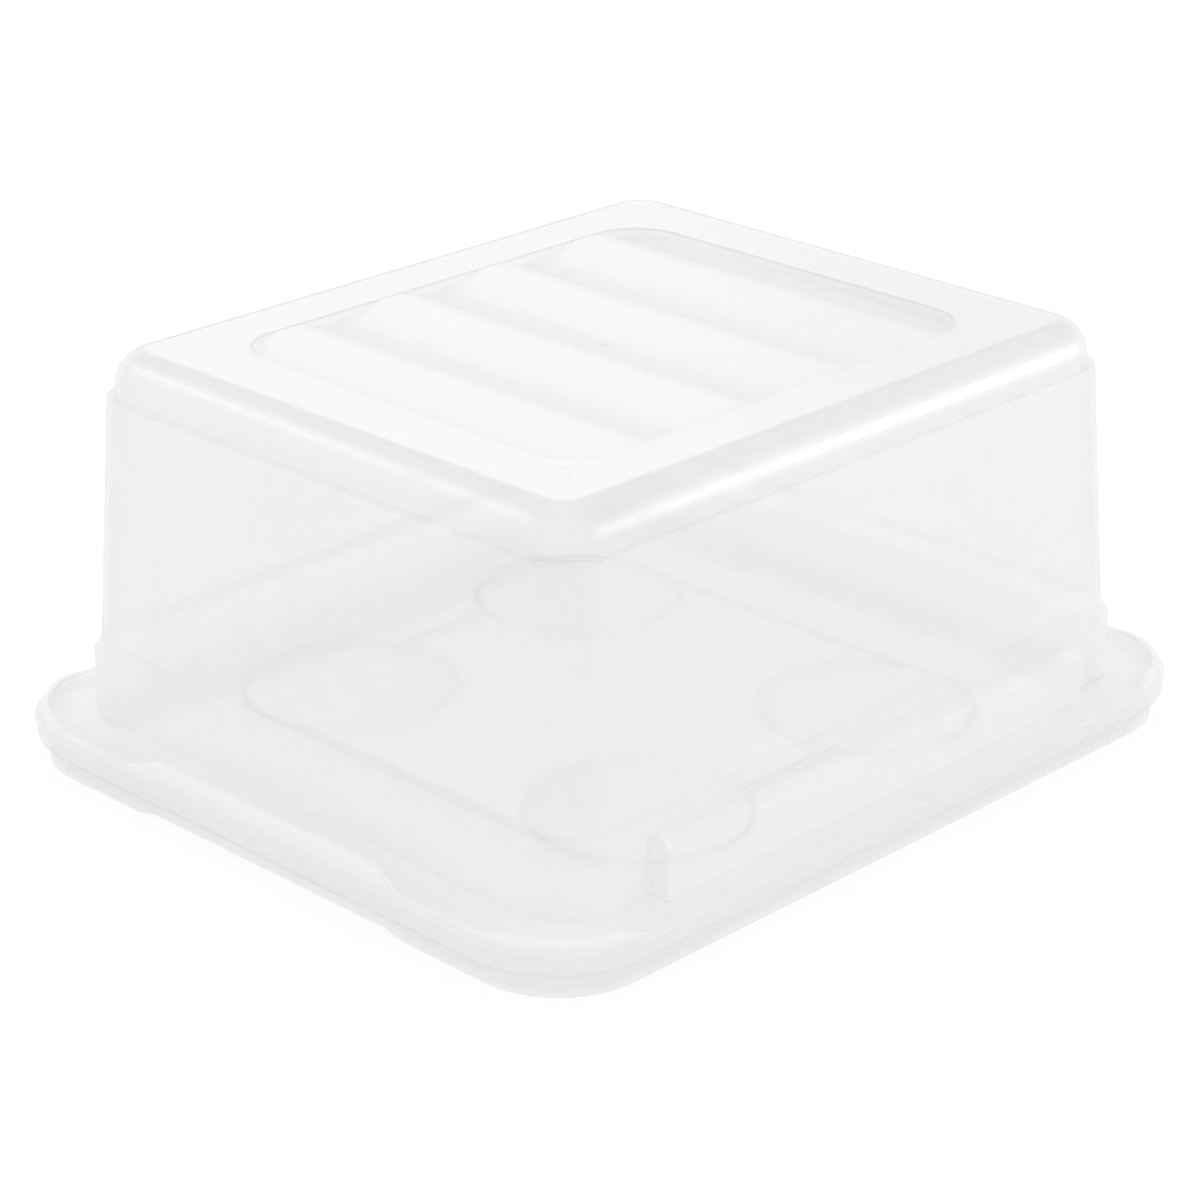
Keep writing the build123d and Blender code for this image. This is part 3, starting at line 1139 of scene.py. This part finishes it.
@dataclass(frozen=True)
class Tub:
    """The tub, one moulding, with its mouth down."""

    top: float = TOP
    base: Plan = BASE
    base_round: float = BASE_ROUND
    ledge_height: float = 160.9 * MM
    wall_top: Plan = Plan(*in_mm(163.4, 138.9, 20.0))
    wall_foot: Plan = Plan(*in_mm(169.6, 145.1, 22.0))
    wall_foot_height: float = 53.0 * MM
    band: Plan = BAND
    band_top: float = 47.5 * MM
    web_bottom: float = 19.1 * MM
    mouth_edge: float = 9.7 * MM
    bulge_reach: float = 9.0 * MM
    bulge_top: float = 47.0 * MM
    bulge_round: float = 7.0 * MM
    bulge_drop: float = 1.2 * MM
    bulge_start: float = 0.08
    lip: Plan = LIP
    lip_straight: float = LIP_STRAIGHT
    lip_lean: float = 35.0
    lip_nose: float = 0.35 * MM
    panel: Plan = PANEL
    panel_steps: int = 15
    panel_sink: float = 0.15 * MM
    panel_frame: Span = in_mm(0.2, 1.2)
    flat_run: float = 1.0 * MM
    wall_run: float = 4.0 * MM
    band_run: float = 0.9 * MM
    ledge_bend: float = 0.6 * MM
    wall_bend: float = 2.0 * MM
    step_bend: float = 1.5 * MM
    web_bend: float = 0.8 * MM
    lip_foot_bend: float = 0.15 * MM
    lip_bend: float = 0.3 * MM
    rim_bend: float = 0.4 * MM
    mouth_bend: float = 0.7 * MM
    inner_bend: float = 1.0 * MM
    inner_ledge_bend: float = 0.5 * MM
    rib_drop: float = 0.3 * MM
    rib_pitch: float = RIB_PITCH
    rib_crest: float = 16.5 * MM
    rib_depth: float = 4.8 * MM
    rib_ease: float = 2.5 * MM

    def ribs(self) -> RibShape:
        """The ribbed panel's wave.

        Returns:
            Its heights and lengths.
        """
        chord = (self.rib_pitch - self.rib_crest) / 2
        top = self.top - self.rib_drop
        return RibShape(top, self.rib_pitch, self.rib_depth, chord, self.rib_ease, *self.panel.straight())

    def panel_rings(self, inside: float) -> list[Ring]:
        """Rings over the ribbed panel, from its core out to its edge.

        Args:
            inside: 1 for the inner skin.

        Returns:
            The rings.
        """
        edge = self.panel.drawn_in(-WALL * inside)
        return [
            edge.drawn_in(edge.corner * (1 - share)).at(self.top, ribs=1.0, inside=inside)
            for share in np.linspace(0, 1, self.panel_steps)
        ]

    def bulge_rings(self, skin: float, inside: float) -> list[Ring]:
        """Rings down over the bulges' rounded shoulder, from the top of the band.

        Args:
            skin: How far inside the outer skin they lie.
            inside: 1 for the inner skin.

        Returns:
            The rings, which stay inside the band where there is no bulge.
        """
        plan = self.band.drawn_in(skin)
        radius, top = self.bulge_round - skin, self.bulge_top - skin
        inner = self.bulge_reach - radius
        high, low = self.band_top - self.bulge_drop, top - radius
        made = [plan.at(high, rise=top - high, inside=inside, reach=0.0)]
        angles = np.linspace(0, math.pi / 2, ROUND_STEPS + 1)
        for share, angle in zip(np.linspace(self.bulge_start, 1, len(angles)), angles):
            height = high + (low - high) * share
            rise = low + radius * math.cos(angle) - height
            made.append(plan.at(height, rise=rise, reach=inner + radius * math.sin(angle), inside=inside))
        return made

    def outer_rings(self) -> list[Ring]:
        """The outer skin, and the inner one as far as the bulges.

        Returns:
            The rings, from the middle of the base, down the outside and up inside the mouth.
        """
        top, base, panel, band, reach = self.top, self.base, self.panel, self.band, self.bulge_reach
        mouth = {"reach": reach, "inside": 1.0}
        web_top, web_bottom, nose = self.web_bottom + WALL, self.web_bottom, self.lip_nose
        lean = math.radians(self.lip_lean)
        inner_lip = self.lip.drawn_in(WALL / math.cos(lean))
        lip_foot = inner_lip.drawn_in((web_top - web_bottom - self.lip_straight) * math.tan(lean))
        lip_at = web_bottom + self.lip_straight
        return self.panel_rings(0.0) + softened([
            panel.at(top - self.panel_sink, ribs=0.5),
            *(panel.drawn_in(-out).at(top) for out in self.panel_frame),
            base.drawn_in(self.base_round + self.flat_run).at(top),
            base.drawn_in(self.base_round).at(top),
            base.at(top, bend=self.base_round),
            base.at(top - self.base_round),
            base.at(self.ledge_height, bend=self.ledge_bend),
            self.wall_top.at(self.ledge_height, bend=self.ledge_bend),
            self.wall_foot.at(self.wall_foot_height, bend=self.wall_bend),
            band.at(self.band_top, bend=self.step_bend),
            band.at(self.bulge_top),
        ]) + self.bulge_rings(0.0, 0.0) + softened([
            band.at(web_top + self.wall_run, reach=reach),
            band.at(web_top, reach=reach, bend=self.web_bend),
            lip_foot.at(web_top, bend=self.lip_foot_bend),
            inner_lip.drawn_in(-nose * math.tan(lean)).at(lip_at - nose, lift=1.0),
            inner_lip.at(lip_at, lift=1.0, bend=nose),
            self.lip.at(lip_at, lift=1.0, bend=nose),
            self.lip.at(lip_at, bend=self.lip_bend),
            self.lip.at(web_bottom, bend=self.rim_bend),
            band.at(web_bottom, reach=reach, bend=self.rim_bend),
            band.at(self.mouth_edge, reach=reach, bend=self.mouth_bend),
            band.drawn_in(WALL).at(self.mouth_edge, bend=self.mouth_bend, **mouth),
            band.drawn_in(WALL).at(self.mouth_edge + self.wall_run, **mouth),
        ])

    def inner_rings(self) -> list[Ring]:
        """The rest of the inner skin.

        Returns:
            The rings, from the bulges up to the middle of the base.
        """
        roof, ledge = self.top - WALL, self.ledge_height - WALL
        foot, band = self.base.drawn_in(WALL), self.band.drawn_in(WALL)
        return self.bulge_rings(WALL, 1.0)[::-1] + softened([
            band.at(self.band_top - self.band_run, inside=1.0),
            band.at(self.band_top, inside=1.0, bend=self.inner_bend),
            self.wall_foot.drawn_in(WALL).at(self.wall_foot_height, inside=1.0, bend=self.inner_bend),
            self.wall_top.drawn_in(WALL).at(ledge, inside=1.0, bend=self.inner_ledge_bend),
            foot.at(ledge, inside=1.0, bend=self.inner_ledge_bend),
            foot.at(self.top - self.base_round, inside=1.0),
            foot.at(roof, inside=1.0, bend=self.base_round - WALL),
            self.base.drawn_in(self.base_round).at(roof, inside=1.0),
            self.panel.drawn_in(-WALL - self.flat_run).at(roof, inside=1.0),
            self.panel.drawn_in(-WALL).at(roof, inside=1.0),
        ]) + self.panel_rings(1.0)[::-1]

    def build(self, around: Around, finish: ClearPlastic) -> bpy.types.Object:
        """Makes and dresses the tub.

        Args:
            around: The points round each ring.
            finish: Its plastic.

        Returns:
            The piece, which stands for its solid.
        """
        tree = LoftTree(math.tan(math.radians(self.lip_lean)), self.ribs(), MouldMarks())
        piece = tree.run("tub_moulding", self.outer_rings() + self.inner_rings(), around, finish.material())
        finished(piece)
        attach(piece, "container")
        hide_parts("container_shell")
        return piece


# The lid
@dataclass(frozen=True)
class Lid:
    """The lid, one moulding, flat side down."""

    skirt: Plan = Plan(*in_mm(199.3, 171.4, 47.7))
    skirt_height: float = 18.8 * MM
    skirt_straight: float = 4.3 * MM
    skirt_round: float = 5.8 * MM
    stand: Plan = Plan(*in_mm(193.5, 165.6, 39.6))
    plug: Plan = PLUG
    plug_height: float = 15.0 * MM
    raised_step: float = 1.2 * MM
    plug_bend: float = 1.2 * MM
    plug_foot_bend: float = 0.8 * MM
    channel_bend: float = 1.0 * MM
    channel_edge_bend: float = 0.3 * MM
    rim_bend: float = 0.6 * MM
    stand_bend: float = 0.5 * MM
    recess_bend: float = 0.8 * MM
    flat_run: float = 2.0 * MM
    stand_drop: float = 0.2 * MM
    hollow_edge: Span = in_mm(0.2, 0.9)
    spreads: Span = (0.0, 0.05, 0.35, 0.7)
    crest: tuple[Span, ...] = (in_mm(2.0, 0.0), in_mm(0.9, 0.0), in_mm(0.35, 0.12), in_mm(0.1, 0.4))
    foot: tuple[Span, ...] = (in_mm(0.1, 0.4), in_mm(0.35, 0.12), in_mm(0.9, 0.0), in_mm(1.6, 0.0))

    def on_panel(self, height: float, inset: float, spread: float = 1.0) -> Ring:
        """A ring that follows the raised panel's outline."""
        return self.plug.at(height, pads=1.0, inset=inset, spread=spread)

    def face_rings(self) -> list[Ring]:
        """The raised panel's face.

        Returns:
            The rings, from its middle, over its edge and down to the plug's face.
        """
        raised = self.plug_height + self.raised_step
        rings = [self.on_panel(raised, 0.0, spread) for spread in self.spreads]
        rings += [self.on_panel(raised - fall, inset) for inset, fall in self.crest]
        return rings + [self.on_panel(self.plug_height + rise, -out) for out, rise in self.foot]

    def wall_rings(self) -> list[Ring]:
        """The plug, the channel, the skirt and the underside.

        Returns:
            The rings, from the plug's edge over the rim and back underneath.
        """
        shoulder = self.skirt_height - self.skirt_straight
        low = shoulder - self.skirt_round
        inside, channel = self.skirt.drawn_in(WALL), self.stand.drawn_in(WALL)
        recess, ceiling = self.plug.drawn_in(WALL), self.plug_height - WALL
        return softened([
            self.plug.drawn_in(self.flat_run).at(self.plug_height),
            self.plug.at(self.plug_height, bend=self.plug_bend),
            self.plug.at(WALL, arch=1.0, bend=self.plug_foot_bend),
            channel.at(WALL, arch=1.0, bend=self.channel_bend),
            channel.at(low + WALL, bend=self.channel_edge_bend),
            self.skirt.drawn_in(self.skirt_round).at(low + WALL),
            inside.at(low + WALL, bend=self.skirt_round - WALL),
            inside.at(shoulder),
            inside.at(self.skirt_height, bend=self.rim_bend),
            self.skirt.at(self.skirt_height, bend=self.rim_bend),
            self.skirt.at(shoulder),
            self.skirt.at(low, bend=self.skirt_round),
            self.skirt.drawn_in(self.skirt_round).at(low),
            self.stand.at(low - self.stand_drop),
            self.stand.at(0.0, arch=1.0, bend=self.stand_bend),
            recess.at(0.0, arch=1.0, bend=self.stand_bend),
            recess.at(ceiling, bend=self.recess_bend),
            recess.drawn_in(self.flat_run).at(ceiling),
        ])

    def under_rings(self) -> list[Ring]:
        """The hollow under the raised panel.

        Returns:
            The rings, from its edge to its middle.
        """
        ceiling, raised = self.plug_height - WALL, self.plug_height + self.raised_step - WALL
        near, far = self.hollow_edge
        return [
            self.on_panel(ceiling, WALL - far),
            self.on_panel(ceiling + near, WALL - near),
            self.on_panel(raised - near, WALL + near),
            self.on_panel(raised, WALL + far),
        ] + [self.on_panel(raised, WALL, spread) for spread in self.spreads[::-1]]

    def build(self, around: Around, finish: ClearPlastic) -> bpy.types.Object:
        """Makes and dresses the lid.

        Args:
            around: The points round each ring.
            finish: Its plastic.

        Returns:
            The piece, which stands for its solid.
        """
        rings = self.face_rings() + self.wall_rings() + self.under_rings()
        piece = LoftTree(0.0, None).run("lid_moulding", rings, around, finish.material())
        finished(piece)
        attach(piece, "lid")
        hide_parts("lid")
        return piece


# The room
@dataclass(frozen=True)
class Softbox:
    """A lamp that is only seen in gloss."""

    name: str
    place: tuple[float, float, float]
    width: float
    height: float
    level: float

    def build(self, aim: Vector) -> None:
        """Hangs the lamp.

        Args:
            aim: The place that it faces.
        """
        light = bpy.data.lights.new(self.name, "AREA")
        light.shape = "RECTANGLE"
        light.size, light.size_y = self.width, self.height
        light.energy = self.level * math.pi * self.width * self.height
        made = bpy.data.objects.new(self.name, light)
        made.location = self.place
        made.rotation_euler = (aim - Vector(self.place)).to_track_quat("-Z", "Y").to_euler()
        made.visible_camera = False
        made.visible_diffuse = False
        made.visible_transmission = False
        bpy.context.scene.collection.objects.link(made)


@dataclass(frozen=True)
class Studio:
    """A white room with the photograph's camera."""

    azimuth: float = 44.611
    pitch: float = 23.081
    roll: float = -0.107
    focal: float = 3618.3
    frame_width: float = 1200.0
    sensor_width: float = 36.0
    camera_at: tuple[float, float, float] = (-1.01327, -0.99555, 0.66551)
    aim: tuple[float, float, float] = (0.0, 0.0, 0.17)
    floor_half: float = 4.0
    floor_drop: float = 0.2 * MM
    floor_paint: float = 0.92
    floor_glow: float = 1.025
    floor_share: float = 0.85
    light: float = 1.012
    bounces: int = 16
    diffuse_bounces: int = 10
    clear_bounces: int = 40
    softboxes: tuple[Softbox, ...] = (
        Softbox("right_softbox", (1.45, -1.64, 0.40), 1.9, 0.90, 8.6),
        Softbox("left_softbox", (-1.10, 1.42, 1.40), 1.6, 0.22, 13.5),
    )

    def camera(self) -> None:
        """The camera at the photograph's angle."""
        azimuth, pitch, roll = (math.radians(angle) for angle in (self.azimuth, self.pitch, self.roll))
        level = Vector((math.sin(azimuth), -math.cos(azimuth), 0.0))
        level_ahead = Vector((math.cos(azimuth), math.sin(azimuth), 0.0))
        ahead = level_ahead * math.cos(pitch) - Vector((0.0, 0.0, math.sin(pitch)))
        up = level.cross(ahead)
        right = math.cos(roll) * level + math.sin(roll) * up
        above = math.cos(roll) * up - math.sin(roll) * level
        lens = bpy.data.cameras.new("camera")
        lens.sensor_width = self.sensor_width
        lens.lens = self.focal / self.frame_width * lens.sensor_width
        made = bpy.data.objects.new("camera", lens)
        turned = Matrix((right, above, -ahead)).transposed().to_4x4()
        turned.translation = Vector(self.camera_at)
        made.matrix_world = turned
        bpy.context.scene.collection.objects.link(made)
        bpy.context.scene.camera = made

    def world(self) -> None:
        """Even white light from all round."""
        world = bpy.data.worlds.new("room")
        bpy.context.scene.world = world
        world.use_nodes = True
        shade = world.node_tree.nodes["Background"]
        shade.inputs["Color"].default_value = WHITE
        shade.inputs["Strength"].default_value = self.light

    def floor_material(self) -> bpy.types.Material:
        """White paint that glows a little where the camera or gloss sees it, and is clear from below.

        Returns:
            The floor's material.
        """
        made = bpy.data.materials.new("floor_white")
        made.use_nodes = True
        graph = Graph(made.node_tree)
        graph.tree.nodes.clear()
        path = graph.node("ShaderNodeLightPath").outputs
        rays = [Value(graph, path[f"Is {kind} Ray"]) for kind in ("Camera", "Glossy", "Transmission")]
        seen = rays[0].most(rays[1]).most(rays[2])
        paint = graph.value("ShaderNodeBsdfDiffuse", {"Color": (*(self.floor_paint,) * 3, 1.0)})
        glow = graph.value("ShaderNodeEmission", {"Color": WHITE, "Strength": self.floor_glow})
        mixed = graph.value("ShaderNodeMixShader", {0: seen * self.floor_share, 1: paint, 2: glow})
        below = graph.value("ShaderNodeNewGeometry", output="Backfacing")
        clear = graph.value("ShaderNodeBsdfTransparent", {"Color": WHITE})
        mixed = graph.value("ShaderNodeMixShader", {0: below, 1: mixed, 2: clear})
        graph.node("ShaderNodeOutputMaterial", {"Surface": mixed})
        return made

    def floor(self) -> None:
        """A plain white floor that keeps the object's shadow."""
        half = self.floor_half
        mesh = bpy.data.meshes.new("floor")
        corners = [(x * half, y * half, -self.floor_drop) for x, y in ((-1, -1), (1, -1), (1, 1), (-1, 1))]
        mesh.from_pydata(corners, [], [(0, 1, 2, 3)])
        made = bpy.data.objects.new("floor", mesh)
        bpy.context.scene.collection.objects.link(made)
        mesh.materials.append(self.floor_material())

    def build(self) -> None:
        """Sets up the camera, the light, the floor and how often light may turn."""
        self.camera()
        self.world()
        self.floor()
        for softbox in self.softboxes:
            softbox.build(Vector(self.aim))
        scene = bpy.context.scene
        scene.view_settings.view_transform = "Standard"
        scene.cycles.max_bounces = self.bounces
        scene.cycles.diffuse_bounces = self.diffuse_bounces
        scene.cycles.transparent_max_bounces = self.clear_bounces


def main() -> None:
    """Builds the scene."""
    logging.basicConfig(level=logging.INFO, format="%(name)s: %(message)s")
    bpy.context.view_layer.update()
    around = Around()
    pieces = [
        Tub().build(around, TubPlastic("tub_plastic_clear")),
        Lid().build(around, LidPlastic("lid_plastic_clear")),
    ]
    for piece in pieces:
        log.info("%s: %d faces", piece.name, len(piece.data.polygons))
    Studio().build()


if __name__ == "__main__":
    main()
